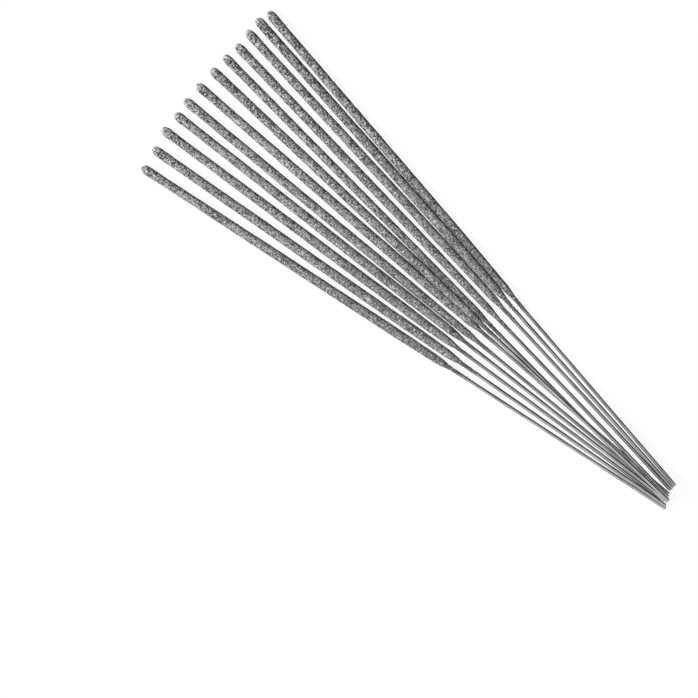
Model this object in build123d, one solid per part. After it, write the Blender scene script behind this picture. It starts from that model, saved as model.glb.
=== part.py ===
from build123d import *
import math
import os

# Twelve loose sparklers lying in an open fan on a flat surface: the bare wire ends are
# gathered, the dipped ends are spread. Millimetres, +Y from the wire ends to the tips, +Z up.

# One sparkler
LENGTH = 170.0  # free wire end to tip
WIRE_D = 1.0  # drawn steel core wire
WIRE_CHAMFER = 0.12  # broken edge at the cropped free end of the wire
COAT_D = 2.65  # composition coat at its full thickness
COAT_LENGTH = 101.5  # mean dipped length, tip to the thin lower edge
TIP_COVER = 1.8  # composition that closes over the upper wire end
TIP_LENGTH = 2.4  # length of the rounded tip
TIP_BLUNT = 0.45  # radius of the blunt centre of the tip
RUN_OUT = 4.8  # length over which the coat thins down onto the wire
RUN_OUT_EDGE = 0.12  # thickness of the coat at its lower edge

# How they lie on each other
REST_GAP = 0.12  # air left between two sparklers that lie side by side or on each other
HANDLE_FREE = 1.75  # spacing that keeps the handle of the last sparkler free of the others
WIRE_PITCH = WIRE_D + REST_GAP
COAT_PITCH = COAT_D + REST_GAP

# Row of each sparkler in the heap: 0 flat on the surface, 1 with its wire across the wires
# of row 0, 2 in the furrow between two coats
ROW = [0, 1, 0, 2, 0, 0, 2, 1, 1, 0, 2, 0]
# Place of each wire end across the fan, in wire pitches
END_SLOT = [-2.5, -2.0, -1.47, -1.0, -0.42, 0.6, -0.9, -1.5, -0.05, 1.6, 2.1, 1.6]
# Steps from coat to coat where they lie closest, in coat pitches: under 1 one rides on the other
COAT_STEP = [1.02, 1.0, 0.93, 0.84, 1.05, 0.52, 0.62, 1.02, 1.11, 0.78, 0.78]
# How far each one is pushed towards the tips, and how much deeper than the mean it was dipped
END_JOG = [-1.4, -0.9, 0.2, -0.1, 0.3, 0.4, 0.5, 0.5, 0.2, 0.8, 1.4, 0.6]
DIP_MORE = [-1.7, 0.5, -1.7, -2.4, 1.7, 0.2, 0.1, 0.2, 1.2, 0.7, 0.6, 1.0]

COUNT = len(ROW)
WIRE_R = WIRE_D / 2
COAT_R = COAT_D / 2
NEAR = LENGTH - COAT_LENGTH - max(DIP_MORE) + RUN_OUT  # where the coat steps count, from the wire ends
SAMPLE = 0.5  # step along a sparkler when its rest height is worked out

os.makedirs("parts", exist_ok=True)


def coat_length(i):
    return COAT_LENGTH + DIP_MORE[i]


def radius_at(i, from_tip):
    """Outer radius of sparkler i at a distance from its tip."""
    full = coat_length(i) - RUN_OUT
    if from_tip <= full:
        return COAT_R
    if from_tip >= coat_length(i):
        return WIRE_R
    share = (from_tip - full) / RUN_OUT
    return COAT_R + (WIRE_R + RUN_OUT_EDGE - COAT_R) * share


def plan_lines():
    """Wire end and heading of each sparkler, seen from above."""
    across = [0.0]
    for step in COAT_STEP:
        across.append(across[-1] + step * COAT_PITCH)
    middle = (across[0] + across[-1]) / 2
    lines = []
    for i in range(COUNT):
        end_x = END_SLOT[i] * WIRE_PITCH
        if i == COUNT - 1:
            end_x += HANDLE_FREE
        heading = math.atan2(across[i] - middle - end_x, NEAR)
        lines.append((end_x, END_JOG[i], heading))
    return lines


def point_on(line, from_tip):
    end_x, end_y, heading = line
    run = LENGTH - from_tip
    return end_x + run * math.sin(heading), end_y + run * math.cos(heading)


def height_at(tilt, from_tip):
    """Height of the axis: the shoulder of the tip stays on the surface."""
    return COAT_R + tilt * (from_tip - TIP_LENGTH)


def rest_tilts(lines):
    """Smallest slope of each sparkler that clears all those under it."""
    order = sorted(range(COUNT), key=lambda i: ROW[i])
    tilts = {}
    for i in order:
        tilt = 0.0
        steps = int((LENGTH - TIP_LENGTH) / SAMPLE)
        for k in range(1, steps + 1):
            from_tip = TIP_LENGTH + k * SAMPLE
            x, y = point_on(lines[i], from_tip)
            for j in tilts:
                end_x, end_y, heading = lines[j]
                run = (x - end_x) * math.sin(heading) + (y - end_y) * math.cos(heading)
                run = min(max(run, 0.0), LENGTH)
                side = (x - end_x) * math.cos(heading) - (y - end_y) * math.sin(heading)
                reach = radius_at(i, from_tip) + radius_at(j, LENGTH - run) + REST_GAP
                if abs(side) < reach:
                    lift = math.sqrt(reach**2 - side**2)
                    needed = height_at(tilts[j], LENGTH - run) + lift
                    tilt = max(tilt, (needed - COAT_R) / (from_tip - TIP_LENGTH))
        tilts[i] = tilt
    return [tilts[i] for i in range(COUNT)]


def seat(line, tilt):
    """Plane at the free wire end, its z axis along the sparkler to the tip."""
    end_x, end_y, heading = line
    slope = math.atan(tilt)
    along = Vector(
        math.sin(heading) * math.cos(slope),
        math.cos(heading) * math.cos(slope),
        -math.sin(slope),
    )
    side = Vector(math.cos(heading), -math.sin(heading), 0)
    return Plane(origin=(end_x, end_y, height_at(tilt, LENGTH)), x_dir=side, z_dir=along)


def turned(points, low, top):
    """Body of revolution from its outline; the core inside the coat is a face of its own."""
    with BuildPart() as body:
        with BuildSketch(Plane.XZ):
            with BuildLine():
                Polyline(*points)
                if top > low:
                    Spline((WIRE_R, low), (WIRE_R, (low + top) / 2), (WIRE_R, top))
            make_face()
        revolve(axis=Axis.Z)
    return body.part


def make_wire(i):
    """Cropped wire: the bare handle up to the coat, then the core that runs on inside it."""
    low = LENGTH - coat_length(i)
    top = LENGTH - TIP_COVER
    outline = [
        (WIRE_R, top),
        (0, top),
        (0, 0),
        (WIRE_R - WIRE_CHAMFER, 0),
        (WIRE_R, WIRE_CHAMFER),
        (WIRE_R, low),
    ]
    return turned(outline, low, top)


def make_coat(i):
    """Dipped coat: blunt domed tip, even body, pencil-like run-out onto the wire."""
    low = LENGTH - coat_length(i)
    shoulder = LENGTH - TIP_LENGTH
    bore_top = LENGTH - TIP_COVER
    outline = [
        (WIRE_R, low),
        (WIRE_R + RUN_OUT_EDGE, low),
        (COAT_R, low + RUN_OUT),
        (COAT_R, shoulder),
        (COAT_R * 0.84, shoulder + TIP_LENGTH * 0.62),
        (TIP_BLUNT, LENGTH),
        (0, LENGTH),
        (0, bore_top),
        (WIRE_R, bore_top),
        (WIRE_R, low),
    ]
    return turned(outline, low, low)


lines = plan_lines()
tilts = rest_tilts(lines)
pieces = {}
for i in range(COUNT):
    place = seat(lines[i], tilts[i]).location
    pieces[f"handle_wire_{i + 1:02d}"] = place * make_wire(i)
    pieces[f"spark_coat_{i + 1:02d}"] = place * make_coat(i)

# The set stands with the middle of its box over the origin
boxes = [piece.bounding_box() for piece in pieces.values()]
mid_x = (min(b.min.X for b in boxes) + max(b.max.X for b in boxes)) / 2
mid_y = (min(b.min.Y for b in boxes) + max(b.max.Y for b in boxes)) / 2
low_z = min(b.min.Z for b in boxes)
for name, piece in pieces.items():
    export_step(Pos(-mid_x, -mid_y, -low_z) * piece, f"parts/{name}.step")
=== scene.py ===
"""Twelve dipped sparklers in an open fan: visual model, materials and studio stage."""

import math
from typing import NamedTuple

import bpy
from bpy.props import FloatProperty, FloatVectorProperty, IntProperty, PointerProperty
from mathutils import Matrix, Vector


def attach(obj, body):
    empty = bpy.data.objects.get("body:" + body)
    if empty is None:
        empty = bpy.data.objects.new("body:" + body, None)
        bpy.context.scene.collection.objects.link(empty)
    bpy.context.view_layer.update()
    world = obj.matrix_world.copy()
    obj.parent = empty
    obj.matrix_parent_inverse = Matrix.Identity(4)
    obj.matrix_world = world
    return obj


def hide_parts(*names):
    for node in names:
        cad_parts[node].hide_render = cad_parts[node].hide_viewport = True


bl_info = {
    "name": "Sparkler Fan",
    "version": (1, 0, 0),
    "blender": (4, 5, 0),
    "location": "View3D > Sidebar > Sparklers",
    "description": "Dresses a fan of twelve dipped sparklers with grain, steel and a studio stage",
    "category": "Object",
}

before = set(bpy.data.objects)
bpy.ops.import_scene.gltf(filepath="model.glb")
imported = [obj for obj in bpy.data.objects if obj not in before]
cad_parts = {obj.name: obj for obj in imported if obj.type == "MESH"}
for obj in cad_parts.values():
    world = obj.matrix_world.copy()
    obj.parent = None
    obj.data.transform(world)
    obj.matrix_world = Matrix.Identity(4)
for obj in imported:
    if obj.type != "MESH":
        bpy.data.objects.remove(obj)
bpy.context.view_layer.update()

MM = 0.001
COUNT = 12
WIRE_NODE = "handle_wire_{:02d}"
COAT_NODE = "spark_coat_{:02d}"
BODY = "sparkler_{:02d}"

# Short names of the node kinds that are used most
MATH = "ShaderNodeMath"
RANGE = "ShaderNodeMapRange"
BLEND = "ShaderNodeMix"
NOISE = "ShaderNodeTexNoise"
CELLS = "ShaderNodeTexVoronoi"
VECTOR = "ShaderNodeCombineXYZ"
ATTRIBUTE = "GeometryNodeStoreNamedAttribute"


class Dip(NamedTuple):
    """How a coat comes out of the dip."""

    lower: float  # radius low down
    middle: float  # radius in the middle
    upper: float  # radius near the tip
    taper: float  # length over which it grows from the lower to the middle radius
    bead: float  # height of the bead that the last drop leaves at the tip


class Mix(NamedTuple):
    """How a batch of the composition dries, with painted shade in its tone."""

    coarseness: float  # size of its grains against the look's grain size
    rough_tip: float  # how far down from the tip they stand out
    gain: float  # how much they stand out there
    # Its tone is painted shade: darker towards the tip on the sparklers on the right of the fan
    tone: float  # change of tone towards the tip
    bloom: float  # how pale the crystals are at the tip


DIPS = {
    "even": Dip(1.10 * MM, 1.31 * MM, 1.19 * MM, taper=13 * MM, bead=0.11 * MM),
    "slow": Dip(1.00 * MM, 1.25 * MM, 1.22 * MM, taper=21 * MM, bead=0.09 * MM),
    "thick": Dip(1.14 * MM, 1.32 * MM, 1.27 * MM, taper=12 * MM, bead=0.03 * MM),
    "thin": Dip(0.93 * MM, 1.11 * MM, 1.14 * MM, taper=42 * MM, bead=0.11 * MM),
}
MIXES = {
    "fine": Mix(1.0, rough_tip=16 * MM, gain=1.7, tone=0.0, bloom=0.15),
    "coarse": Mix(1.08, rough_tip=40 * MM, gain=1.2, tone=-0.06, bloom=0.75),
    "dense": Mix(1.0, rough_tip=16 * MM, gain=1.7, tone=-0.13, bloom=0.1),
}
# Dip and mix of each sparkler, from the first to the twelfth
DIP_OF = [
    "even", "thick", "even", "even", "slow", "even",
    "slow", "thin", "slow", "slow", "thick", "slow",
]
# The coarse and dense batches, on the right of the fan, carry painted shade in their tone
MIX_OF = ["fine"] * 6 + ["coarse"] * 4 + ["dense", "coarse"]

# Form of the coats and wires
RUN_OVER = 0.5 * MM  # reach of the coat's last smear below the lower edge of its solid
LEAST_COAT = 0.012 * MM  # coat left over the wire where a pit is deepest
SWELL = 4.0 * MM  # size of the slow swells of the outline
PIT, PEAK = -0.6, 0.5  # deepest pit and highest grain, in grain heights
GRAIN_LEVEL = 0.45  # distance from a grain's middle, in grains, where its side passes height 0
GRAIN_SOFTNESS = 0.35  # how far neighbouring grains run into each other
GRIT_FINENESS = 1.3  # grit between the grains: how much finer than they are
GRIT_SHARE = 1.6  # its height against theirs
CRYSTAL_CELL = 0.75 * MM  # cell that may hold a pale crystal
CRYSTAL_SHARE = 0.17  # share of these cells that do
CRYSTAL_CORE, CRYSTAL_RIM = 0.15, 0.55  # from where to where a crystal fades, in cells
SPECK_SIZE = (0.07 * MM, 0.22 * MM)  # radius of the specks left on the wire
SPECK_TONE = 0.45
RAGGED_LEVEL = 0.4  # noise that leaves the coat's lower edge in its place
WELD = 0.001 * MM  # points this near are one
# Steps from sparkler to sparkler through the patterns
GRAIN_STEP = 131.0 * MM
RAGGED_STEP = 3.7
SHEAR_STEP = 1.9  # turn of the sheared end
# Shifts of the seed for the specks' places, sizes and turns
WAY_SEED, ANGLE_SEED, SIZE_SEED, TURN_SEED = 100, 200, 300, 400

# Patterns in the finishes
CLOUD = 3.0 * MM
CLOUD_TONE = 0.09  # the most that a cloud shifts the tone
# The pits are painted dark and the grain tops pale: painted shade and painted light by height
TONE_STOPS = (0.12, 0.5, 0.92)  # tones of the pits, the body and the tops of the grains
FLECK_CELL = 0.34 * MM
FLECK_SHARE = 0.08  # share of the cells that hold a fleck, and share that hold a filing
FLECK_METAL = 0.15  # how metallic a fleck is in its film of slurry
POWDER = 0.12 * MM
DIE_LINE = (0.1 * MM, 12.0 * MM)  # round and along the wire
SOAP_PATCH = 5.0 * MM
SLURRY_SPOT = 0.4 * MM
SLURRY_ROUGHNESS = 0.4  # what a closed film adds to the roughness of the steel
PAPER_FIBRE = 2.0 * MM

# Stage
FLOOR_LEVEL = -0.1 * MM
FLOOR_HALF = 2.0
FLOOR_SHADE = 0.25  # share of the floor's colour that takes the shadow
FLOOR_MOTTLE = 0.98  # the darkest fibres against the palest
FLOOR_GLOW = 0.8  # share that is white to the eye whatever the light
FLOOR_BOUNCE = 0.06  # share that throws light back onto the sparklers
FLAG_BESIDE = 0.3  # distance of the black flag from the middle of the fan
# Outline of the flag, along the fan and up: cut away towards the wire ends, which mirror the pale room
FLAG_EDGE = (
    (-0.34, FLOOR_LEVEL),
    (1.5, FLOOR_LEVEL),
    (1.5, 3.0),
    (-0.23, 3.0),
    (-0.24, 1.0),
    (-0.26, 0.3),
    (-0.3, 0.09),
)
KEY_SPREAD = math.radians(15)
OVERHEAD_SPREAD = math.radians(60)
LAMP_DISTANCE = 0.8
# The picture: the place in its middle, its width there and its turn about the line of sight
AIM = Vector((-26.9, 7.3, 1.5)) * MM
PICTURE_WIDTH = 189.7 * MM
PICTURE_TURN = math.radians(-48.50254)
SENSOR_WIDTH = 36.0  # in millimetres, as the lens is


# Colours and nodes


def linear(code):
    """Linear RGB of an sRGB hex colour such as 8c8c8a."""
    shares = [int(code[i : i + 2], 16) / 255 for i in (0, 2, 4)]
    return tuple(s / 12.92 if s <= 0.04045 else ((s + 0.055) / 1.055) ** 2.4 for s in shares)


def rgba(colour):
    """The colour with full cover."""
    return (*colour, 1.0)


def add(tree, kind, inputs=(), out=0, **settings):
    """Adds a node with its settings and links, and gives the output asked for, or the node."""
    node = tree.nodes.new(kind)
    for name, value in settings.items():
        setattr(node, name, value)
    pairs = inputs.items() if isinstance(inputs, dict) else enumerate(inputs)
    for key, value in pairs:
        for one in value if isinstance(value, list) else [value]:
            if isinstance(one, bpy.types.NodeSocket):
                tree.links.new(one, node.inputs[key])
            else:
                node.inputs[key].default_value = one
    return node if out is None else node.outputs[out]


def blank_material(name):
    """New material and its empty node tree."""
    material = bpy.data.materials.new(name)
    material.use_nodes = True
    material.node_tree.nodes.clear()
    return material, material.node_tree


def in_sight(tree):
    """1 for rays from the eye, off metal and through glass, 0 for those that carry light."""
    path = add(tree, "ShaderNodeLightPath", out=None).outputs
    seen = add(tree, MATH, (path["Is Camera Ray"], path["Is Glossy Ray"]), operation="MAXIMUM")
    return add(tree, MATH, (seen, path["Is Transmission Ray"]), operation="MAXIMUM")


def new_group(name, sizes):
    """Geometry node tree with these named inputs and defaults, of which whole numbers stay whole."""
    tree = bpy.data.node_groups.new(name, "GeometryNodeTree")
    for label, default in sizes.items():
        kind = "NodeSocketInt" if isinstance(default, int) else "NodeSocketFloat"
        socket = tree.interface.new_socket(label, in_out="INPUT", socket_type=kind)
        socket.default_value = default
    tree.interface.new_socket("Geometry", in_out="OUTPUT", socket_type="NodeSocketGeometry")
    return tree


def grown(name, tree, values, place):
    """Plain mesh object that the tree makes from these input values, moved to its place."""
    seed_mesh = bpy.data.meshes.new(name + "_seed")
    maker = bpy.data.objects.new(name + "_maker", seed_mesh)
    bpy.context.scene.collection.objects.link(maker)
    modifier = maker.modifiers.new("make", "NODES")
    modifier.node_group = tree
    for item in tree.interface.items_tree:
        if item.item_type == "SOCKET" and item.in_out == "INPUT" and item.name in values:
            modifier[item.identifier] = values[item.name]
    graph = bpy.context.evaluated_depsgraph_get()
    mesh = bpy.data.meshes.new_from_object(maker.evaluated_get(graph))
    bpy.data.objects.remove(maker)
    bpy.data.meshes.remove(seed_mesh)
    if len(mesh.polygons) == 0:
        raise RuntimeError(name + ": its node tree made no faces")
    # The tree's own empty slot comes first: keep the one material it set
    material = mesh.materials[-1]
    mesh.materials.clear()
    mesh.materials.append(material)
    mesh.polygons.foreach_set("material_index", [0] * len(mesh.polygons))
    mesh.name = name
    mesh.transform(place)
    piece = bpy.data.objects.new(name, mesh)
    bpy.context.scene.collection.objects.link(piece)
    return piece


# Where each sparkler lies


def ring_centre(points, along, at):
    """Middle of the points that lie at this place along the direction, each counted once."""
    depth = 0.02 * MM
    near = {tuple(round(c, 7) for c in p) for p in points if abs(p.dot(along) - at) < depth}
    total = Vector((0, 0, 0))
    for p in near:
        total += Vector(p)
    return total / len(near)


def axis_of(number):
    """Free wire end, direction to the tip, wire length, and the coat's lower edge and tip along it."""
    wire = [v.co.copy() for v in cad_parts[WIRE_NODE.format(number)].data.vertices]
    coat = [v.co.copy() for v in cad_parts[COAT_NODE.format(number)].data.vertices]
    # From +Y as a first guess, three rounds settle the direction
    along = Vector((0, 1, 0))
    for _ in range(3):
        reach = [p.dot(along) for p in wire]
        start = ring_centre(wire, along, min(reach))
        end = ring_centre(wire, along, max(reach))
        along = (end - start).normalized()
    reach = [(p - start).dot(along) for p in coat]
    return start, along, (end - start).length, min(reach), max(reach)


def place_at(origin, along):
    """Matrix that turns local +Z to the direction and local +Y as near to up as it goes."""
    side = Vector((0, 0, 1)).cross(along).normalized()
    up = along.cross(side)
    turn = Matrix((side, up, along)).transposed().to_4x4()
    return Matrix.Translation(origin) @ turn


# Settings


class CoatLook(bpy.types.PropertyGroup):
    """Shape and colours of the dipped composition coat."""

    tip_length: FloatProperty(
        name="Tip length",
        description="Length of the rounded tip",
        default=2.4 * MM,
        unit="LENGTH",
    )
    tip_cover: FloatProperty(
        name="Tip cover",
        description="Composition over the upper end of the wire",
        default=1.8 * MM,
        unit="LENGTH",
    )
    run_out: FloatProperty(
        name="Run-out",
        description="Length over which the coat ends on the wire",
        default=4.5 * MM,
        unit="LENGTH",
    )
    film: FloatProperty(
        name="Film length",
        description="How far a thin film of slurry reaches down the wire below the coat",
        default=8.0 * MM,
        unit="LENGTH",
    )
    wave: FloatProperty(
        name="Waviness",
        description="How far the outline swells and draws in along the coat",
        default=0.08 * MM,
        unit="LENGTH",
    )
    grain: FloatProperty(
        name="Grain size",
        description="Width of one grain of the dried composition",
        default=0.52 * MM,
        unit="LENGTH",
    )
    relief: FloatProperty(
        name="Grain height",
        description="Height of a grain over the pits round it",
        default=0.09 * MM,
        unit="LENGTH",
    )
    # Painted shade: the pits between the grains are darkened with this colour; it is also the iron
    # filings' own colour
    dark: FloatVectorProperty(
        name="Pit shade and iron colour",
        description="Colour in the pits between grains",
        default=linear("464645"),
        subtype="COLOR",
    )
    middle: FloatVectorProperty(
        name="Body colour",
        description="Main grey of the dried composition",
        default=linear("91918f"),
        subtype="COLOR",
    )
    # Painted light: the tops of the grains are made pale with this colour
    light: FloatVectorProperty(
        name="Painted light on grain tops",
        description="Colour on top of the grains",
        default=linear("d5d5d1"),
        subtype="COLOR",
    )
    fleck: FloatVectorProperty(
        name="Metal fleck colour",
        description="Colour of the aluminium flecks",
        default=linear("d2d2ce"),
        subtype="COLOR",
    )
    around: IntProperty(
        name="Segments around",
        description="Faces round the coat",
        default=64,
    )
    rows: IntProperty(
        name="Rows along",
        description="Faces along the coat",
        default=700,
    )


class WireLook(bpy.types.PropertyGroup):
    """Shape and colours of the drawn steel wire."""

    radius: FloatProperty(
        name="Wire radius",
        description="Radius of the drawn wire",
        default=0.5 * MM,
        unit="LENGTH",
    )
    steel: FloatVectorProperty(
        name="Steel colour",
        description="Bright steel",
        default=linear("c0c0bf"),
        subtype="COLOR",
    )
    worn: FloatVectorProperty(
        name="Drawing film colour",
        description="Grey film that the drawing soap leaves",
        default=linear("90908f"),
        subtype="COLOR",
    )
    slurry: FloatVectorProperty(
        name="Slurry film colour",
        description="Thin dried slurry on the wire below the coat",
        default=linear("62625f"),
        subtype="COLOR",
    )


class StageLook(bpy.types.PropertyGroup):
    """Floor, lights and camera."""

    floor: FloatVectorProperty(
        name="Floor colour",
        description="Paper under the sparklers",
        default=linear("f4f4f4"),
        subtype="COLOR",
    )
    key: FloatProperty(
        name="Key light",
        description="Irradiance of the key light",
        default=3.67,
    )
    rake: FloatProperty(
        name="Key height",
        description="Angle of the key light over the floor",
        default=math.radians(42),
        subtype="ANGLE",
    )
    bearing: FloatProperty(
        name="Key bearing",
        description="Side the key light comes from, turned from +X to +Y",
        default=math.radians(134),
        subtype="ANGLE",
    )
    casting: FloatProperty(
        name="Casting share",
        description="Share of the key light that casts shadows",
        default=0.36,
        subtype="FACTOR",
    )
    overhead: FloatProperty(
        name="Overhead light",
        description="Irradiance of the broad light from above",
        default=0.42,
    )
    fill: FloatProperty(
        name="Fill light",
        description="Strength of the even light from all round",
        default=0.01,
    )
    lens: FloatProperty(
        name="Lens",
        description="Focal length in millimetres",
        default=85.0,
        unit="CAMERA",
    )


# Materials


def composition_material(look):
    """Dried spark composition: a dipped slurry of nitrate, metal powder and dextrin."""
    # A matt, sandy grey crust: grains painted pale on their tops and dark in their pits (painted light
    # and painted shade), cloudy from slow drying, with bright aluminium flecks and dark iron filings lying
    # in it
    material, tree = blank_material("dried_spark_composition")
    place = add(tree, "ShaderNodeTexCoord", out="Object")
    # 'relief' carries the tone with its painted light and shade, not a height
    relief = add(tree, "ShaderNodeAttribute", out="Fac", attribute_name="relief")

    # Drying clouds shift the tone of the grains
    clouds = add(tree, NOISE, {"Vector": place, "Scale": 1 / CLOUD, "Detail": 2.0})
    cloud_tone = add(
        tree,
        RANGE,
        {"Value": clouds, "From Min": 0.3, "From Max": 0.7, "To Min": -CLOUD_TONE, "To Max": CLOUD_TONE},
    )
    tone = add(tree, MATH, (relief, cloud_tone), operation="ADD")
    ramp = add(tree, "ShaderNodeValToRGB", {"Fac": tone}, out=None)
    stops = ramp.color_ramp.elements
    stops.new(TONE_STOPS[1])
    for stop, position, colour in zip(stops, TONE_STOPS, (look.dark, look.middle, look.light)):
        stop.position = position
        stop.color = rgba(colour)

    # Of the cells one in twelve is a fleck of aluminium, one in twelve a filing of iron
    cells = add(tree, CELLS, {"Vector": place, "Scale": 1 / FLECK_CELL}, out="Color")
    draw = add(tree, "ShaderNodeSeparateColor", (cells,), out=None).outputs
    is_fleck = add(tree, MATH, (draw[0], 1 - FLECK_SHARE), operation="GREATER_THAN")
    is_iron = add(tree, MATH, (draw[1], FLECK_SHARE), operation="LESS_THAN")
    colour = ramp.outputs["Color"]
    for holds, metal_colour in ((is_iron, look.dark), (is_fleck, look.fleck)):
        layers = {"Factor": holds, 6: colour, 7: rgba(metal_colour)}
        colour = add(tree, BLEND, layers, out=2, data_type="RGBA")
    metal = add(tree, MATH, (is_fleck, FLECK_METAL), operation="MULTIPLY")
    rough = add(tree, RANGE, {"Value": is_fleck, "To Min": 0.88, "To Max": 0.6})

    # Powder grit, drawn coarser than it is so that it shows
    grit = add(tree, NOISE, {"Vector": place, "Scale": 1 / POWDER, "Detail": 3.0, "Roughness": 0.65})
    bump = add(tree, "ShaderNodeBump", {"Height": grit, "Strength": 0.5, "Distance": 0.03 * MM})
    shader = add(
        tree,
        "ShaderNodeBsdfPrincipled",
        {
            "Base Color": colour,
            "Metallic": metal,
            "Roughness": rough,
            "Specular IOR Level": 0.08,
            "Normal": bump,
        },
    )
    add(tree, "ShaderNodeOutputMaterial", (shader,), out=None)
    return material


def steel_material(look):
    """Bright drawn low-carbon steel wire."""
    # Clean grey metal with fine lines along the wire from the die and a patchy grey soap film
    material, tree = blank_material("bright_drawn_steel_wire")
    flat = add(tree, "ShaderNodeUVMap", uv_map="UVMap")
    # Die lines: real ones are about 0.02 mm wide, these are drawn coarser so that they show
    per_line = (1 / DIE_LINE[0], 1 / DIE_LINE[1], 1.0)
    stretched = add(tree, "ShaderNodeMapping", {"Vector": flat, "Scale": per_line})
    lines = add(tree, NOISE, {"Vector": stretched, "Scale": 1.0, "Detail": 3.0})
    place = add(tree, "ShaderNodeTexCoord", out="Object")
    soap = add(tree, NOISE, {"Vector": place, "Scale": 1 / SOAP_PATCH, "Detail": 4.0, "Roughness": 0.6})
    both = add(tree, MATH, (lines, soap), operation="ADD")
    share = add(tree, RANGE, {"Value": both, "From Min": 0.75, "From Max": 1.3})
    bare = add(
        tree,
        BLEND,
        {"Factor": share, 6: rgba(look.steel), 7: rgba(look.worn)},
        out=2,
        data_type="RGBA",
    )
    rough = add(
        tree,
        RANGE,
        {"Value": both, "From Min": 0.7, "From Max": 1.3, "To Min": 0.08, "To Max": 0.18},
    )

    # Slurry film below the coat: spots that close up towards it
    reach = add(tree, "ShaderNodeAttribute", out="Fac", attribute_name="film")
    spots = add(tree, NOISE, {"Vector": place, "Scale": 1 / SLURRY_SPOT, "Detail": 2.0})
    cover = add(tree, MATH, (reach, spots), operation="ADD")
    cover = add(tree, RANGE, {"Value": cover, "From Min": 0.75, "From Max": 1.15})
    colour = add(tree, BLEND, {"Factor": cover, 6: bare, 7: rgba(look.slurry)}, out=2, data_type="RGBA")
    metal = add(tree, RANGE, {"Value": cover, "To Min": 1.0, "To Max": 0.25})
    dull = add(tree, MATH, (cover, SLURRY_ROUGHNESS, rough), operation="MULTIPLY_ADD")
    bump = add(tree, "ShaderNodeBump", {"Height": lines, "Strength": 0.35, "Distance": 0.01 * MM})
    shader = add(
        tree,
        "ShaderNodeBsdfPrincipled",
        {"Base Color": colour, "Metallic": metal, "Roughness": dull, "Normal": bump},
    )
    add(tree, "ShaderNodeOutputMaterial", (shader,), out=None)
    return material


def paper_material(look):
    """White sweep paper: plain, matt, with the soft shadow of what lies on it."""
    material, tree = blank_material("white_sweep_paper")
    # Faint mottle of the fibres
    place = add(tree, "ShaderNodeTexCoord", out="Object")
    mottle = add(tree, NOISE, {"Vector": place, "Scale": 1 / PAPER_FIBRE, "Detail": 2.0})
    tone = add(
        tree,
        RANGE,
        {"Value": mottle, "To Min": FLOOR_MOTTLE * FLOOR_SHADE, "To Max": FLOOR_SHADE},
    )
    shade = add(
        tree,
        "ShaderNodeVectorMath",
        {0: tuple(look.floor), "Scale": tone},
        operation="SCALE",
    )
    matt = add(tree, "ShaderNodeBsdfDiffuse", {"Color": shade})
    glow = add(tree, "ShaderNodeEmission", {"Color": (1, 1, 1, 1), "Strength": FLOOR_GLOW})
    white = add(tree, "ShaderNodeAddShader", (matt, glow))
    dim = tuple(FLOOR_BOUNCE * share for share in look.floor)
    bounce = add(tree, "ShaderNodeBsdfDiffuse", {"Color": rgba(dim)})
    both = add(tree, "ShaderNodeMixShader", (in_sight(tree), bounce, white))
    add(tree, "ShaderNodeOutputMaterial", (both,), out=None)
    return material


def felt_material():
    """Black felt of the flag that gives the steel its dark line."""
    material, tree = blank_material("black_felt")
    felt = add(tree, "ShaderNodeBsdfDiffuse", {"Color": rgba(linear("080808"))})
    add(tree, "ShaderNodeOutputMaterial", (felt,), out=None)
    return material


# Tubes: a flat unit grid that is rolled up round the local Z axis


def unit_grid(tree, around, rows):
    """Flat grid, one by one, with this many faces each way."""
    columns = add(tree, MATH, (around, 1), operation="ADD")
    levels = add(tree, MATH, (rows, 1), operation="ADD")
    counts = {"Size X": 1.0, "Size Y": 1.0, "Vertices X": columns, "Vertices Y": levels}
    return add(tree, "GeometryNodeMeshGrid", counts)


def rolled_up(tree):
    """Share of the way along, angle round, and its cosine and sine at each point of the grid."""
    place = add(tree, "GeometryNodeInputPosition")
    flat = add(tree, "ShaderNodeSeparateXYZ", (place,), out=None).outputs
    share_round = add(tree, MATH, (flat[0], 0.5), operation="ADD")
    share_along = add(tree, MATH, (flat[1], 0.5), operation="ADD")
    angle = add(tree, MATH, (share_round, math.tau), operation="MULTIPLY")
    cosine = add(tree, MATH, (angle,), operation="COSINE")
    sine = add(tree, MATH, (angle,), operation="SINE")
    return share_along, angle, cosine, sine


def on_ring(tree, radius, cosine, sine, level):
    """Point at this radius, angle and level."""
    beside = add(tree, MATH, (radius, cosine), operation="MULTIPLY")
    over = add(tree, MATH, (radius, sine), operation="MULTIPLY")
    return add(tree, VECTOR, (beside, over, level))


def finish_tree(tree, mesh, material):
    """Ends a tree with real faces, smooth shading and the material."""
    mesh = add(tree, "GeometryNodeRealizeInstances", (mesh,))
    mesh = add(tree, "GeometryNodeSetShadeSmooth", (mesh,))
    mesh = add(tree, "GeometryNodeSetMaterial", {0: mesh, "Material": material})
    add(tree, "NodeGroupOutput", (mesh,), out=None)


# Node tree of the coat


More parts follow.
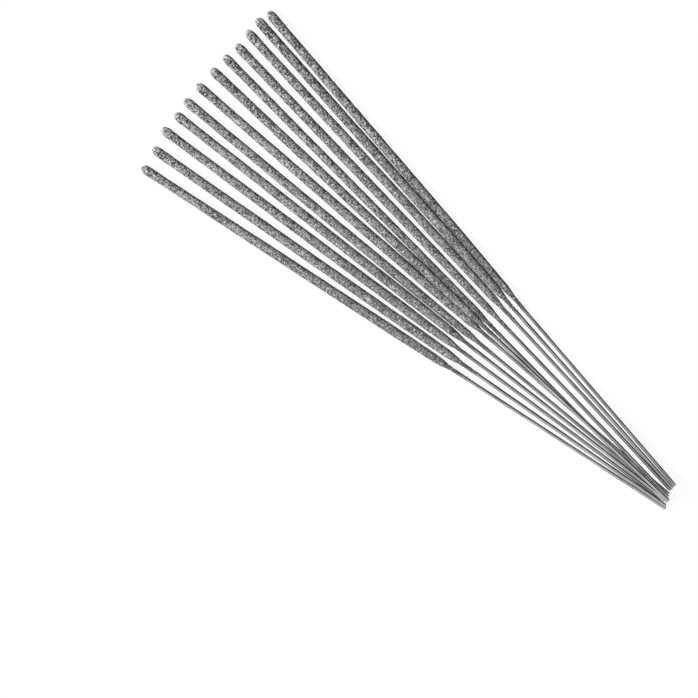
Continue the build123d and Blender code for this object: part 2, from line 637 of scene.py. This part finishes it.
def tip_dome(tree, given, row):
    """Share of the tip passed at this row, how far it points out and ahead, and the way from the tip."""
    passed = add(tree, MATH, (row, given["Tip Rows"]), operation="DIVIDE", use_clamp=True)
    lean = add(tree, MATH, (passed, math.pi / 2), operation="MULTIPLY")
    out = add(tree, MATH, (lean,), operation="SINE")
    out = add(tree, MATH, (out, given["Tip Curve"]), operation="POWER")
    ahead = add(tree, MATH, (lean,), operation="COSINE")
    back = add(tree, MATH, (1.0, ahead), operation="SUBTRACT")
    in_dome = add(tree, MATH, (given["Tip Length"], back), operation="MULTIPLY")
    body_rows = add(tree, MATH, (given["Rows"], given["Tip Rows"]), operation="SUBTRACT")
    body_rows = add(tree, MATH, (body_rows, 1.0), operation="SUBTRACT")
    body_row = add(tree, MATH, (row, given["Tip Rows"]), operation="SUBTRACT")
    body_share = add(tree, MATH, (body_row, body_rows), operation="DIVIDE", use_clamp=True)
    body_length = add(tree, MATH, (given["Length"], given["Tip Length"]), operation="SUBTRACT")
    from_tip = add(tree, MATH, (body_share, body_length, in_dome), operation="MULTIPLY_ADD")
    return passed, out, ahead, from_tip


def dipped_radius(tree, given, from_tip, full):
    """Radius of the body: a little slimmer towards the tip, a bead at the tip, slowly thinner low down."""
    upper = add(
        tree,
        RANGE,
        {
            "Value": from_tip,
            "From Min": given["Bead Length"],
            "From Max": given["Upper Reach"],
            "To Min": given["Upper Radius"],
            "To Max": given["Middle Radius"],
        },
        interpolation_type="SMOOTHSTEP",
    )
    taper_start = add(tree, MATH, (full, given["Taper"]), operation="SUBTRACT")
    tapered = add(tree, RANGE, {"Value": from_tip, "From Min": taper_start, "From Max": full})
    body = add(tree, BLEND, {"Factor": tapered, 2: upper, 3: given["Lower Radius"]}, data_type="FLOAT")
    drop = add(
        tree,
        RANGE,
        {"Value": from_tip, "From Max": given["Bead Length"], "To Min": given["Bead"], "To Max": 0.0},
        interpolation_type="SMOOTHSTEP",
    )
    return add(tree, MATH, (body, drop), operation="ADD")


def ragged_end(tree, given, from_tip, full, body, cosine, sine):
    """How far the coat has thinned down, ending on the wire on a line uneven round it, and its radius."""
    seed_place = add(tree, MATH, (given["Seed"], RAGGED_STEP), operation="MULTIPLY")
    round_place = add(tree, VECTOR, (cosine, sine, seed_place))
    ragged = add(tree, NOISE, {"Vector": round_place, "Scale": 0.9, "Detail": 3.0, "Roughness": 0.7})
    ragged = add(tree, MATH, (ragged, RAGGED_LEVEL), operation="SUBTRACT")
    past = add(tree, MATH, (from_tip, full), operation="SUBTRACT")
    past = add(tree, MATH, (ragged, given["Unevenness"], past), operation="MULTIPLY_ADD")
    thinned = add(tree, MATH, (past, given["Run Out"]), operation="DIVIDE", use_clamp=True)
    rounded = add(tree, MATH, (thinned, given["Run Out Curve"]), operation="POWER")
    edge_radius = add(tree, MATH, (given["Wire Radius"], given["Edge"]), operation="ADD")
    fall = add(tree, MATH, (edge_radius, body), operation="SUBTRACT")
    radius = add(tree, MATH, (fall, rounded, body), operation="MULTIPLY_ADD")
    return thinned, radius


def grain_height(tree, given, at, from_tip):
    """Height in grain heights: rounded grains with finer grit between them."""
    per_grain = add(tree, MATH, (1.0, given["Grain"]), operation="DIVIDE")
    grains = add(
        tree,
        CELLS,
        {"Vector": at, "Scale": per_grain, "Smoothness": GRAIN_SOFTNESS},
        feature="SMOOTH_F1",
    )
    finer = add(tree, MATH, (per_grain, GRIT_FINENESS), operation="MULTIPLY")
    grit = add(tree, NOISE, {"Vector": at, "Scale": finer, "Detail": 3.0, "Roughness": 0.6})
    height = add(tree, MATH, (GRAIN_LEVEL, grains), operation="SUBTRACT")
    grit = add(tree, MATH, (grit, 0.5), operation="SUBTRACT")
    height = add(tree, MATH, (grit, GRIT_SHARE, height), operation="MULTIPLY_ADD")
    height = add(tree, "ShaderNodeClamp", {"Value": height, "Min": PIT, "Max": PEAK})
    # The grain stands out more near the tip and less in the lower half, where the slurry ran over it
    coarser = add(
        tree,
        RANGE,
        {"Value": from_tip, "From Max": given["Rough Tip"], "To Min": given["Tip Gain"], "To Max": 1.0},
        interpolation_type="SMOOTHSTEP",
    )
    calmer = add(
        tree,
        RANGE,
        {
            "Value": from_tip,
            "From Min": given["Dull From"],
            "From Max": given["Dull To"],
            "To Min": 1.0,
            "To Max": given["Low Gain"],
        },
    )
    height = add(tree, MATH, (height, coarser), operation="MULTIPLY")
    return add(tree, MATH, (height, calmer), operation="MULTIPLY")


def crystal_bloom(tree, given, at, from_tip):
    """Paler tone of the crystals that bloom towards the tip."""
    cells = add(tree, CELLS, {"Vector": at, "Scale": 1 / CRYSTAL_CELL}, out=None).outputs
    lot = add(tree, "FunctionNodeSeparateColor", (cells["Color"],))
    holds = add(tree, MATH, (lot, 1 - CRYSTAL_SHARE), operation="GREATER_THAN")
    crystal = add(
        tree,
        RANGE,
        {
            "Value": cells["Distance"],
            "From Min": CRYSTAL_CORE,
            "From Max": CRYSTAL_RIM,
            "To Min": 1.0,
            "To Max": 0.0,
        },
    )
    fading = add(
        tree,
        RANGE,
        {"Value": from_tip, "From Max": given["Bloom Reach"], "To Min": given["Bloom"], "To Max": 0.0},
    )
    bloom = add(tree, MATH, (crystal, holds), operation="MULTIPLY")
    return add(tree, MATH, (bloom, fading), operation="MULTIPLY")


def coat_tone(tree, given, height, passed, from_tip, bloom, thinned):
    """Tone of the crust: a painted highlight makes the end of the tip paler, painted shade darkens the
    upper coat of the right-hand sparklers, and the lower half and the thin end are darker.
    """
    # Painted light and shade: the tops of the grains are paler and the pits darker
    tone = add(tree, RANGE, {"Value": height, "From Min": PIT, "From Max": PEAK})
    # Painted highlight: the end of the tip's dome is made paler, as where the light catches it
    bead = add(tree, MATH, (1.0, passed), operation="SUBTRACT")
    tone = add(tree, MATH, (bead, given["Painted Tip Highlight"], tone), operation="MULTIPLY_ADD")
    # Painted shade: the coarse and dense batches are darker towards the tip, on the right of the fan
    dull = add(
        tree,
        RANGE,
        {
            "Value": from_tip,
            "From Min": given["Dull From"],
            "From Max": given["Dull To"],
            "To Min": given["Painted Tip Shade"],
            "To Max": given["Low Tone"],
        },
    )
    tone = add(tree, MATH, (tone, dull), operation="ADD")
    tone = add(tree, MATH, (tone, bloom), operation="ADD")
    return add(tree, MATH, (thinned, given["End Tone"], tone), operation="MULTIPLY_ADD")


def coat_skin(tree, given, share_along, cosine, sine):
    """Outer skin: row 0 is the pole of the tip, the row before the last the thin lower edge."""
    row = add(tree, MATH, (share_along, given["Rows"]), operation="MULTIPLY")
    passed, out, ahead, from_tip = tip_dome(tree, given, row)
    # The coat is full down to where its run-out starts
    full = add(tree, MATH, (given["Length"], given["Run Out"]), operation="SUBTRACT")
    body = dipped_radius(tree, given, from_tip, full)
    thinned, radius = ragged_end(tree, given, from_tip, full, body, cosine, sine)
    smooth_radius = add(tree, MATH, (radius, out), operation="MULTIPLY")

    # Grain on a slow swell along the coat, of which noise from 0 to 1 makes -1 to 1
    shift = add(tree, MATH, (given["Seed"], GRAIN_STEP), operation="MULTIPLY")
    depth = add(tree, MATH, (shift, from_tip), operation="SUBTRACT")
    at = on_ring(tree, smooth_radius, cosine, sine, depth)
    swell = add(tree, NOISE, {"Vector": at, "Scale": 1 / SWELL, "Detail": 2.0})
    swell = add(tree, MATH, (swell, 2.0, -1.0), operation="MULTIPLY_ADD")
    swell = add(tree, MATH, (swell, given["Wave"]), operation="MULTIPLY")
    height = grain_height(tree, given, at, from_tip)
    raised = add(tree, MATH, (height, given["Relief"], swell), operation="MULTIPLY_ADD")
    radius = add(tree, MATH, (raised, out, smooth_radius), operation="MULTIPLY_ADD")
    forward = add(tree, MATH, (raised, ahead), operation="MULTIPLY")
    above = add(tree, MATH, (forward, from_tip), operation="SUBTRACT")

    # The skin never sinks into the wire, and its last row closes on it
    least = add(tree, MATH, (given["Wire Radius"], LEAST_COAT), operation="ADD")
    least = add(tree, MATH, (least, out), operation="MULTIPLY")
    radius = add(tree, MATH, (radius, least), operation="MAXIMUM")
    last = add(tree, MATH, (given["Rows"], 0.5), operation="SUBTRACT")
    is_last = add(tree, MATH, (row, last), operation="GREATER_THAN")
    radius = add(tree, BLEND, {"Factor": is_last, 2: radius, 3: given["Wire Radius"]}, data_type="FLOAT")
    shaped = on_ring(tree, radius, cosine, sine, above)

    bloom = crystal_bloom(tree, given, at, from_tip)
    tone = coat_tone(tree, given, height, passed, from_tip, bloom, thinned)
    mesh = unit_grid(tree, given["Around"], given["Rows"])
    # The tone, with its painted light and shade, goes to the material as 'relief'
    mesh = add(tree, ATTRIBUTE, {"Geometry": mesh, "Name": "relief", "Value": tone})
    return add(tree, "GeometryNodeSetPosition", {"Geometry": mesh, "Position": shaped})


def coat_bore(tree, given, share_along, cosine, sine):
    """Bore that the wire fills, from the lower edge to its pole under the tip."""
    rows = add(tree, MATH, (given["Bore Rows"], 1), operation="ADD")
    row = add(tree, MATH, (share_along, rows), operation="MULTIPLY")
    share = add(tree, MATH, (row, given["Bore Rows"]), operation="DIVIDE", use_clamp=True)
    length = add(tree, MATH, (given["Length"], given["Tip Cover"]), operation="SUBTRACT")
    level = add(tree, MATH, (share, length), operation="MULTIPLY")
    level = add(tree, MATH, (level, given["Length"]), operation="SUBTRACT")
    before_pole = add(tree, MATH, (given["Bore Rows"], 0.5), operation="ADD")
    is_wall = add(tree, MATH, (row, before_pole), operation="LESS_THAN")
    radius = add(tree, MATH, (given["Wire Radius"], is_wall), operation="MULTIPLY")
    bored = on_ring(tree, radius, cosine, sine, level)
    mesh = unit_grid(tree, given["Around"], rows)
    return add(tree, "GeometryNodeSetPosition", {"Geometry": mesh, "Position": bored})


def wire_specks(tree, given):
    """Specks that the dip left on the wire below the coat, thinning out away from it."""
    draws = []
    for low, high, shift in (
        (0.0, 1.0, WAY_SEED),
        (0.0, math.tau, ANGLE_SEED),
        (*SPECK_SIZE, SIZE_SEED),
    ):
        seed = add(tree, MATH, (given["Seed"], shift), operation="ADD")
        limits = {2: low, 3: high, "Seed": seed}
        draws.append(add(tree, "FunctionNodeRandomValue", limits, out=1, data_type="FLOAT"))
    way, angle, size = draws
    far = add(tree, MATH, (way, given["Speck Thinning"]), operation="POWER")
    far = add(tree, MATH, (far, given["Speck Reach"]), operation="MULTIPLY")
    start = add(tree, MATH, (given["Speck Start"], given["Length"]), operation="SUBTRACT")
    level = add(tree, MATH, (start, far), operation="SUBTRACT")
    cosine = add(tree, MATH, (angle,), operation="COSINE")
    sine = add(tree, MATH, (angle,), operation="SINE")
    speck_at = on_ring(tree, given["Wire Radius"], cosine, sine, level)
    points = add(tree, "GeometryNodePoints", {"Count": given["Specks"]})
    points = add(tree, "GeometryNodeSetPosition", {"Geometry": points, "Position": speck_at})
    crumb = add(tree, "GeometryNodeMeshIcoSphere", {"Radius": 1.0, "Subdivisions": 1})
    seed = add(tree, MATH, (given["Seed"], TURN_SEED), operation="ADD")
    turn = add(
        tree,
        "FunctionNodeRandomValue",
        {1: (math.tau, math.tau, math.tau), "Seed": seed},
        data_type="FLOAT_VECTOR",
    )
    flatter = add(tree, MATH, (size, given["Speck Flatness"]), operation="MULTIPLY")
    stretch = add(tree, VECTOR, (size, flatter, size))
    crumbs = add(
        tree,
        "GeometryNodeInstanceOnPoints",
        {"Points": points, "Instance": crumb, "Rotation": turn, "Scale": stretch},
    )
    crumbs = add(tree, "GeometryNodeRealizeInstances", (crumbs,))
    return add(tree, ATTRIBUTE, {"Geometry": crumbs, "Name": "relief", "Value": SPECK_TONE})


def coat_tree(material):
    """Dipped coat: domed tip, grained body, uneven run-out, bore for the wire, trailing specks."""
    tree = new_group(
        "dipped_coat",
        {
            "Length": 100 * MM,
            "Lower Radius": 1.0 * MM,
            "Middle Radius": 1.25 * MM,
            "Upper Radius": 1.23 * MM,
            "Taper": 20 * MM,
            "Bead": 0.1 * MM,
            "Bead Length": 8.0 * MM,
            "Upper Reach": 50 * MM,
            "Rough Tip": 16 * MM,
            "Tip Gain": 1.7,
            "Low Gain": 0.62,
            "Painted Tip Highlight": 0.6,
            "Painted Tip Shade": 0.0,
            "Low Tone": -0.085,
            "End Tone": -0.08,
            "Bloom": 0.15,
            "Bloom Reach": 70 * MM,
            "Dull From": 30 * MM,
            "Dull To": 75 * MM,
            "Wire Radius": 0.5 * MM,
            "Tip Length": 2.4 * MM,
            "Tip Curve": 0.75,
            "Tip Cover": 1.8 * MM,
            "Run Out": 4.5 * MM,
            "Run Out Curve": 1.4,
            "Edge": 0.04 * MM,
            "Unevenness": 2.6 * MM,
            "Wave": 0.08 * MM,
            "Grain": 0.5 * MM,
            "Relief": 0.1 * MM,
            "Around": 64,
            "Rows": 700,
            "Tip Rows": 18,
            "Bore Rows": 40,
            "Specks": 110,
            "Speck Start": 0.6 * MM,
            "Speck Reach": 6.5 * MM,
            "Speck Thinning": 1.8,
            "Speck Flatness": 0.7,
            "Seed": 1,
        },
    )
    given = add(tree, "NodeGroupInput", out=None).outputs
    share_along, _, cosine, sine = rolled_up(tree)
    skin = coat_skin(tree, given, share_along, cosine, sine)
    bore = coat_bore(tree, given, share_along, cosine, sine)
    shell = add(tree, "GeometryNodeJoinGeometry", ([skin, bore],))
    shell = add(tree, "GeometryNodeMergeByDistance", {"Geometry": shell, "Distance": WELD})
    shell = add(tree, "GeometryNodeFlipFaces", (shell,))
    specks = wire_specks(tree, given)
    whole = add(tree, "GeometryNodeJoinGeometry", ([shell, specks],))
    finish_tree(tree, whole, material)
    return tree


# Node tree of the wire


def wire_rows(tree, given, row):
    """Level and radius at a row: pole, broken edge, body closer-set near the cropped end, rim, pole."""
    body_rows = add(tree, MATH, (given["Rows"], 3.0), operation="SUBTRACT")
    body = add(tree, MATH, (row, 2.0), operation="SUBTRACT")
    body = add(tree, MATH, (body, body_rows), operation="DIVIDE", use_clamp=True)
    body = add(tree, MATH, (body, given["Crowding"]), operation="POWER")
    body_length = add(tree, MATH, (given["Length"], given["Burr"]), operation="SUBTRACT")
    level = add(tree, MATH, (body, body_length, given["Burr"]), operation="MULTIPLY_ADD")
    is_body = add(tree, MATH, (row, 1.5), operation="GREATER_THAN")
    level = add(tree, MATH, (level, is_body), operation="MULTIPLY")
    is_edge = add(tree, MATH, (row, 1.5), operation="LESS_THAN")
    edge = add(tree, MATH, (is_edge, given["Burr"]), operation="MULTIPLY")
    radius = add(tree, MATH, (given["Radius"], edge), operation="SUBTRACT")
    last = add(tree, MATH, (given["Rows"], 0.5), operation="SUBTRACT")
    past_lower = add(tree, MATH, (row, 0.5), operation="GREATER_THAN")
    below_upper = add(tree, MATH, (row, last), operation="LESS_THAN")
    radius = add(tree, MATH, (radius, past_lower), operation="MULTIPLY")
    radius = add(tree, MATH, (radius, below_upper), operation="MULTIPLY")
    return level, radius


def sheared(tree, given, angle, level, radius):
    """Level and radius once the shears have nipped the last part flat and left its face at a slant."""
    turn = add(tree, MATH, (given["Seed"], SHEAR_STEP, angle), operation="MULTIPLY_ADD")
    facing = add(tree, MATH, (turn,), operation="COSINE")
    near_end = add(
        tree,
        RANGE,
        {"Value": level, "From Max": given["Nip"], "To Min": 1.0, "To Max": 0.0},
        interpolation_type="SMOOTHSTEP",
    )
    slant = add(tree, MATH, (facing, 1.0), operation="ADD")
    slant = add(tree, MATH, (slant, radius), operation="MULTIPLY")
    slant = add(tree, MATH, (slant, given["Shear"]), operation="MULTIPLY")
    level = add(tree, MATH, (slant, near_end, level), operation="MULTIPLY_ADD")
    pinch = add(tree, MATH, (facing,), operation="ABSOLUTE")
    pinch = add(tree, MATH, (pinch, near_end), operation="MULTIPLY")
    pinch = add(tree, MATH, (pinch, given["Pinch"], 1.0), operation="MULTIPLY_ADD")
    radius = add(tree, MATH, (radius, pinch), operation="MULTIPLY")
    return level, radius


def wire_tree(material):
    """Drawn wire: round body with a sheared lower end and a plain upper end inside the coat."""
    tree = new_group(
        "drawn_wire",
        {
            "Length": 168 * MM,
            "Radius": 0.5 * MM,
            "Shear": 0.18,
            "Nip": 0.8 * MM,
            "Pinch": -0.14,
            "Burr": 0.1 * MM,
            "Coat At": 68 * MM,
            "Film": 8.0 * MM,
            "Around": 32,
            "Rows": 240,
            "Crowding": 1.5,
            "Seed": 1,
        },
    )
    given = add(tree, "NodeGroupInput", out=None).outputs
    share_along, angle, cosine, sine = rolled_up(tree)
    row = add(tree, MATH, (share_along, given["Rows"]), operation="MULTIPLY")
    level, radius = wire_rows(tree, given, row)
    level, radius = sheared(tree, given, angle, level, radius)
    shaped = on_ring(tree, radius, cosine, sine, level)
    mesh = unit_grid(tree, given["Around"], given["Rows"])
    girth = add(tree, MATH, (angle, given["Radius"]), operation="MULTIPLY")
    unrolled = add(tree, VECTOR, (girth, level))
    mesh = add(
        tree,
        ATTRIBUTE,
        {"Geometry": mesh, "Name": "UVMap", "Value": unrolled},
        data_type="FLOAT2",
        domain="CORNER",
    )
    film_start = add(tree, MATH, (given["Coat At"], given["Film"]), operation="SUBTRACT")
    film = add(tree, RANGE, {"Value": level, "From Min": film_start, "From Max": given["Coat At"]})
    mesh = add(tree, ATTRIBUTE, {"Geometry": mesh, "Name": "film", "Value": film})
    mesh = add(tree, "GeometryNodeSetPosition", {"Geometry": mesh, "Position": shaped})
    mesh = add(tree, "GeometryNodeMergeByDistance", {"Geometry": mesh, "Distance": WELD})
    finish_tree(tree, mesh, material)
    return tree


# Pieces of the stage


def stage_panel(name, corners, material):
    """Flat panel with these corners."""
    mesh = bpy.data.meshes.new(name)
    mesh.from_pydata(corners, [], [range(len(corners))])
    mesh.materials.append(material)
    panel = bpy.data.objects.new(name, mesh)
    bpy.context.scene.collection.objects.link(panel)
    return panel


def studio_room(look):
    """Room that is white to the eye and in the steel, and lights the sparklers only by the fill."""
    world = bpy.data.worlds.new("studio_room")
    world.use_nodes = True
    tree = world.node_tree
    tree.nodes.clear()
    strength = add(tree, RANGE, {"Value": in_sight(tree), "To Min": look.fill, "To Max": 1.0})
    sky = add(tree, "ShaderNodeBackground", {"Color": (1, 1, 1, 1), "Strength": strength})
    add(tree, "ShaderNodeOutputWorld", (sky,), out=None)
    return world


def stage_lamp(name, energy, spread, towards, casts):
    """Broad lamp in this direction, which the steel doesn't mirror."""
    lamp = bpy.data.lights.new(name, "SUN")
    lamp.energy = energy
    lamp.angle = spread
    lamp.use_shadow = casts
    light = bpy.data.objects.new(name, lamp)
    bpy.context.scene.collection.objects.link(light)
    light.visible_glossy = False
    light.location = AIM + towards * LAMP_DISTANCE
    light.rotation_euler = towards.to_track_quat("Z", "Y").to_euler()


def photo_camera(look):
    """Camera straight over the fan."""
    eye = bpy.data.cameras.new("photo_camera")
    eye.lens = look.lens
    eye.sensor_width = SENSOR_WIDTH
    camera = bpy.data.objects.new("photo_camera", eye)
    bpy.context.scene.collection.objects.link(camera)
    distance = PICTURE_WIDTH * look.lens / SENSOR_WIDTH
    camera.location = AIM + Vector((0, 0, distance))
    camera.rotation_euler = (0, 0, PICTURE_TURN)
    return camera


# Operators


class SPARKLER_OT_dipped_coats(bpy.types.Operator):
    """Make the twelve grained composition coats"""

    bl_idname = "sparkler.dipped_coats"
    bl_label = "Dipped Coats"

    def execute(self, context):
        look = context.scene.sparkler_coat
        tree = coat_tree(composition_material(look))
        for number in range(1, COUNT + 1):
            start, along, _, low, top = axis_of(number)
            dip = DIPS[DIP_OF[number - 1]]
            mix = MIXES[MIX_OF[number - 1]]
            values = {
                "Length": top - low + RUN_OVER,
                "Lower Radius": dip.lower,
                "Middle Radius": dip.middle,
                "Upper Radius": dip.upper,
                "Taper": dip.taper,
                "Bead": dip.bead,
                "Rough Tip": mix.rough_tip,
                "Tip Gain": mix.gain,
                "Painted Tip Shade": mix.tone,
                "Bloom": mix.bloom,
                "Wire Radius": context.scene.sparkler_wire.radius,
                "Tip Length": look.tip_length,
                "Tip Cover": look.tip_cover,
                "Run Out": look.run_out,
                "Wave": look.wave,
                "Grain": look.grain * mix.coarseness,
                "Relief": look.relief,
                "Around": look.around,
                "Rows": look.rows,
                "Seed": number,
            }
            tip = start + along * top
            coat = grown(f"dipped_coat_{number:02d}", tree, values, place_at(tip, along))
            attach(coat, BODY.format(number))
            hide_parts(COAT_NODE.format(number))
        return {"FINISHED"}


class SPARKLER_OT_drawn_wires(bpy.types.Operator):
    """Make the twelve cropped steel wires"""

    bl_idname = "sparkler.drawn_wires"
    bl_label = "Drawn Wires"

    def execute(self, context):
        look = context.scene.sparkler_wire
        tree = wire_tree(steel_material(look))
        for number in range(1, COUNT + 1):
            start, along, length, low, _ = axis_of(number)
            values = {
                "Length": length,
                "Radius": look.radius,
                "Coat At": low,
                "Film": context.scene.sparkler_coat.film,
                "Seed": number,
            }
            wire = grown(f"drawn_wire_{number:02d}", tree, values, place_at(start, along))
            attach(wire, BODY.format(number))
            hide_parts(WIRE_NODE.format(number))
        return {"FINISHED"}


class SPARKLER_OT_stage(bpy.types.Operator):
    """Set the floor, the flag, the lights and the camera"""

    bl_idname = "sparkler.stage"
    bl_label = "Studio Stage"

    def execute(self, context):
        scene = context.scene
        look = scene.sparkler_stage
        scene.view_settings.view_transform = "Standard"
        scene.world = studio_room(look)

        # Paper on the floor, and a black flag beside the fan that only reflections show
        square = ((-1, -1), (1, -1), (1, 1), (-1, 1))
        paper = [(FLOOR_HALF * x, FLOOR_HALF * y, FLOOR_LEVEL) for x, y in square]
        stage_panel("floor_paper", paper, paper_material(look))
        flag = stage_panel("black_flag", [(FLAG_BESIDE, y, z) for y, z in FLAG_EDGE], felt_material())
        flag.visible_camera = False
        flag.visible_diffuse = False
        flag.visible_transmission = False
        flag.visible_shadow = False

        # The key comes from the left over the tips, part of it without shadows
        flat = Vector((math.cos(look.bearing), math.sin(look.bearing), 0.0))
        up = Vector((0, 0, 1))
        slanting = flat * math.cos(look.rake) + up * math.sin(look.rake)
        stage_lamp("key_softbox", look.key * look.casting, KEY_SPREAD, slanting, casts=True)
        stage_lamp("key_fill", look.key * (1 - look.casting), KEY_SPREAD, slanting, casts=False)
        stage_lamp("overhead_softbox", look.overhead, OVERHEAD_SPREAD, up, casts=True)
        scene.camera = photo_camera(look)
        return {"FINISHED"}


class SPARKLER_PT_panel(bpy.types.Panel):
    """Sparkler fan tools"""

    bl_idname = "SPARKLER_PT_panel"
    bl_label = "Sparkler Fan"
    bl_space_type = "VIEW_3D"
    bl_region_type = "UI"
    bl_category = "Sparklers"

    def draw(self, context):
        layout = self.layout
        for group_name in GROUPS:
            group = getattr(context.scene, group_name)
            for name in group.bl_rna.properties.keys():
                if name not in {"rna_type", "name"}:
                    layout.prop(group, name)
        for operator in OPERATORS:
            layout.operator(operator.bl_idname)


GROUPS = {"sparkler_coat": CoatLook, "sparkler_wire": WireLook, "sparkler_stage": StageLook}
OPERATORS = (SPARKLER_OT_dipped_coats, SPARKLER_OT_drawn_wires, SPARKLER_OT_stage)
CLASSES = (*GROUPS.values(), *OPERATORS, SPARKLER_PT_panel)


def register():
    for cls in CLASSES:
        bpy.utils.register_class(cls)
    for name, cls in GROUPS.items():
        setattr(bpy.types.Scene, name, PointerProperty(type=cls))


def unregister():
    for name in GROUPS:
        delattr(bpy.types.Scene, name)
    for cls in reversed(CLASSES):
        bpy.utils.unregister_class(cls)


def main():
    register()
    bpy.ops.sparkler.dipped_coats()
    bpy.ops.sparkler.drawn_wires()
    bpy.ops.sparkler.stage()


if __name__ == "__main__":
    main()
